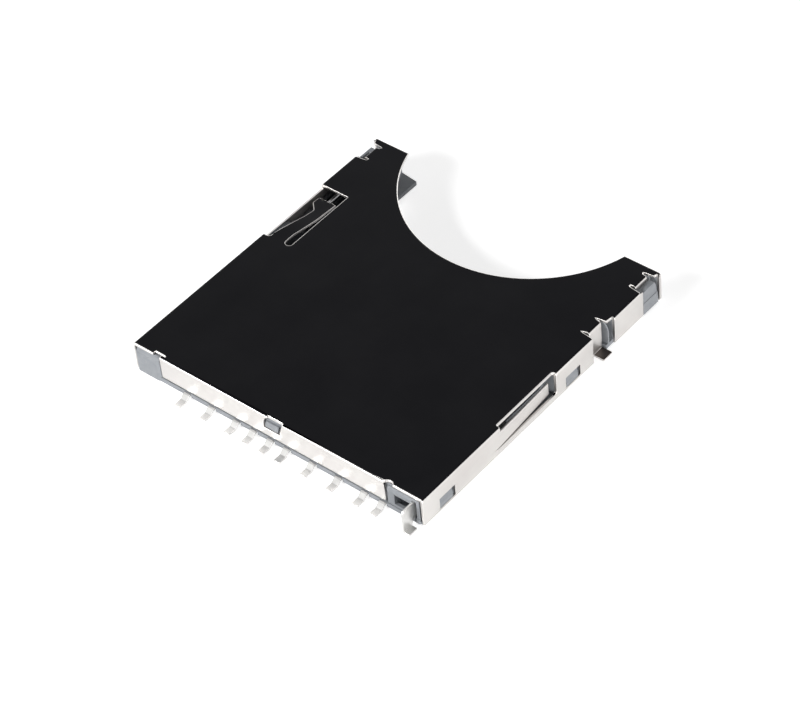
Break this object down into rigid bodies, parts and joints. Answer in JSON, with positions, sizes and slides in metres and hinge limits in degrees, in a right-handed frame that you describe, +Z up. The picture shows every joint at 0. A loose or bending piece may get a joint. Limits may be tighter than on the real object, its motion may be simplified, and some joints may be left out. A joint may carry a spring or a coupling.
{
  "type": "memory card connector",
  "caption": "Surface-mount push-push socket for a full-size memory card: folded steel shell with a finger cut-out over a moulded housing with spring contacts and an eject slider.",
  "frame": {"origin": "middle of the shell's footprint, on the board plane", "axes": "+Y the way the card goes in, towards the solder tails; +Z up from the board; +X right, seen from the mouth"},
  "size_m": [0.0294, 0.0305, 0.0027],
  "materials": {
    "shell_steel": "mirror top face, bright folded edges",
    "housing_plastic": "moulded, blue-grey",
    "contact_plating": "tin-plated strip",
    "slider_plastic": "moulded, dark grey",
    "spring_wire": "drawn wire"
  },
  "bodies": {
    "frame": {"shell": "shell_steel", "housing": "housing_plastic", "contact_1": "contact_plating", "contact_2": "contact_plating", "contact_3": "contact_plating", "contact_4": "contact_plating", "contact_5": "contact_plating", "contact_6": "contact_plating", "contact_7": "contact_plating", "contact_8": "contact_plating", "contact_9": "contact_plating", "card_detect_spring": "contact_plating", "write_protect_spring": "contact_plating", "eject_spring": "spring_wire"},
    "slider": {"slider": "slider_plastic", "card_lock_spring": "contact_plating"},
    "rod": {"pull_rod": "spring_wire"}
  },
  "joints": [
    {"name": "slider_travel", "type": "slide", "parent": "frame", "child": "slider", "axis": [0, 1, 0], "range_m": [0, 0.006], "stiffness_N_per_m": 150, "springref_m": -0.005, "deforming": ["eject_spring"]},
    {"name": "rod_pivot", "type": "hinge", "parent": "frame", "child": "rod", "pos_m": [0.01305, -0.0126, 0.00175], "axis": [0, 0, 1], "range_deg": [-3.9, 0.1]}
  ],
  "couplings": [
    {"joint": "rod_pivot", "follows": "slider_travel", "rad_per_m": -11.04}
  ]
}
